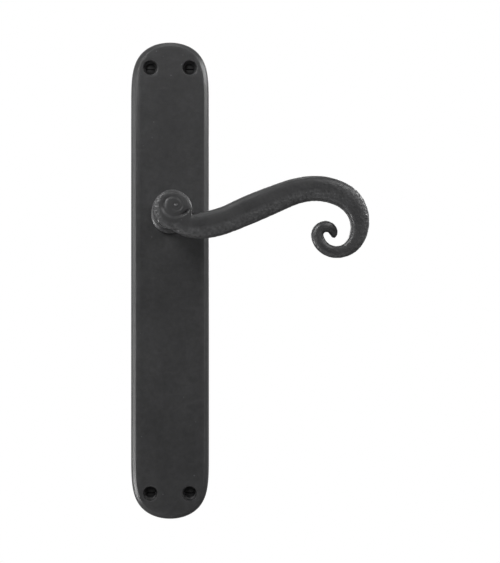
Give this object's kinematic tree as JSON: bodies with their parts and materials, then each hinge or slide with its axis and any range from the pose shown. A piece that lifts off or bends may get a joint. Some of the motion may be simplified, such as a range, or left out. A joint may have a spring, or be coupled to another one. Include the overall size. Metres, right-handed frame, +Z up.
{
  "type": "door lever handle",
  "caption": "Wrought-iron style door lever handle: snail-scrolled lever with a curled tip, sprung on a long round-ended backplate with slotted corner screws.",
  "frame": {"origin": "on the spindle axis, in the plane of the door's surface (the back of the backplate)", "axes": "+X along the lever, towards its curled tip; +Z up the door; the front of the handle faces -Y and the door is on +Y"},
  "size_m": [0.1181, 0.1159, 0.25],
  "materials": {
    "black_iron": "black waxed casting, satin on the plate, hammered on the lever",
    "black_steel": "blackened steel screw, satin, worn bright in places",
    "zinc_steel": "bright zinc plate over pressed and drawn steel",
    "spring_steel": "oiled spring steel",
    "nylon": "black moulded nylon"
  },
  "bodies": {
    "plate": {"backplate": "black_iron", "bearing_bush": "nylon", "fixing_screw_top_left": "black_steel", "fixing_screw_top_right": "black_steel", "fixing_screw_bottom_left": "black_steel", "fixing_screw_bottom_right": "black_steel", "spring_post": "zinc_steel", "stop_pin_rest": "zinc_steel", "stop_pin_travel": "zinc_steel", "thrust_washer": "zinc_steel", "return_spring": "spring_steel", "spring_cover": "zinc_steel", "cover_screw_upper": "zinc_steel", "cover_screw_lower": "zinc_steel"},
    "handle": {"lever": "black_iron", "grub_screw": "black_steel", "spindle": "zinc_steel", "drive_plate": "zinc_steel", "wave_washer": "spring_steel", "circlip": "spring_steel"}
  },
  "joints": [
    {"name": "lever_turn", "type": "hinge", "parent": "plate", "child": "handle", "pos_m": [0, 0, 0], "axis": [0, 1, 0], "range_deg": [0, 45], "stiffness_Nm_per_rad": 0.8, "springref_deg": -31.51, "deforming": ["return_spring"]}
  ]
}
